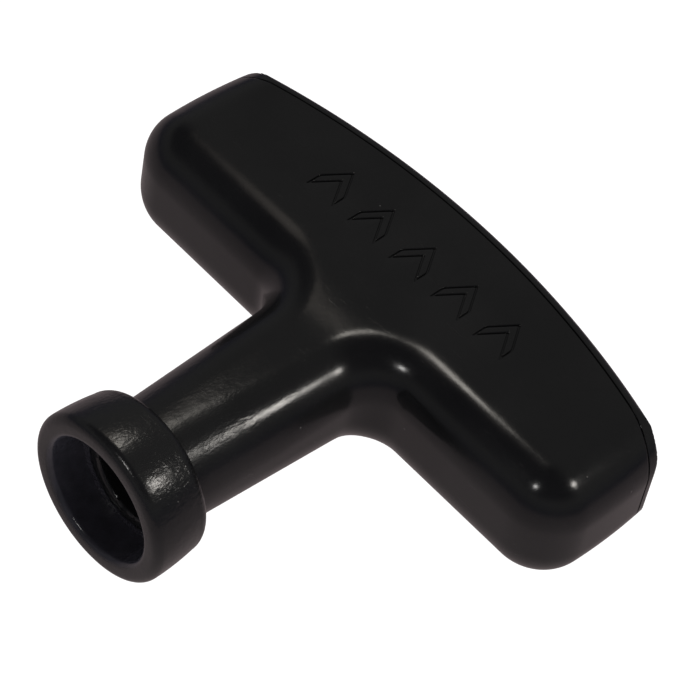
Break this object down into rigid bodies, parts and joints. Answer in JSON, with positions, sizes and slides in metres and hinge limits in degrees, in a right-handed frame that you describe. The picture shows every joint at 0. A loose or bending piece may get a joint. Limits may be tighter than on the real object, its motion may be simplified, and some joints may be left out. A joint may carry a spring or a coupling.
{
  "type": "recoil starter pull grip",
  "caption": "T-shaped pull grip for a recoil starter: hollow crossbar with a curved back cover, a tapering neck and a mouth collar that parks over the rope outlet.",
  "frame": {"origin": "centre of the part's bounding box in plan, at the height of the collar's lowest line", "axes": "+X along the crossbar, -Y along the rope and out of the mouth, +Z out of the marked face"},
  "size_m": [0.0998, 0.0784, 0.0289],
  "materials": {
    "grip_plastic": "moulded, glossy, lightly rubbed",
    "collar_plastic": "moulded, glossy, finely scratched round its rear edge",
    "ferrule_steel": "plated, rolled lip",
    "washer_steel": "zinc plated",
    "insert_nylon": "satin moulded nylon"
  },
  "bodies": {
    "grip": {"grip_shell": "grip_plastic", "neck_collar": "collar_plastic", "rope_ferrule": "ferrule_steel"},
    "cover": {"back_cover": "grip_plastic"},
    "washer": {"knot_washer": "washer_steel"},
    "insert": {"rope_insert": "insert_nylon"}
  },
  "joints": [
    {"name": "cover_pull", "type": "slide", "parent": "grip", "child": "cover", "axis": [0, 1, 0], "range_m": [0, 0.025]},
    {"name": "knot_travel", "type": "slide", "parent": "grip", "child": "washer", "axis": [0, 1, 0], "range_m": [0, 0.012]},
    {"name": "insert_swivel", "type": "hinge", "parent": "washer", "child": "insert", "pos_m": [0, 0.0182, 0.01445], "axis": [0, 1, 0], "continuous": true}
  ]
}
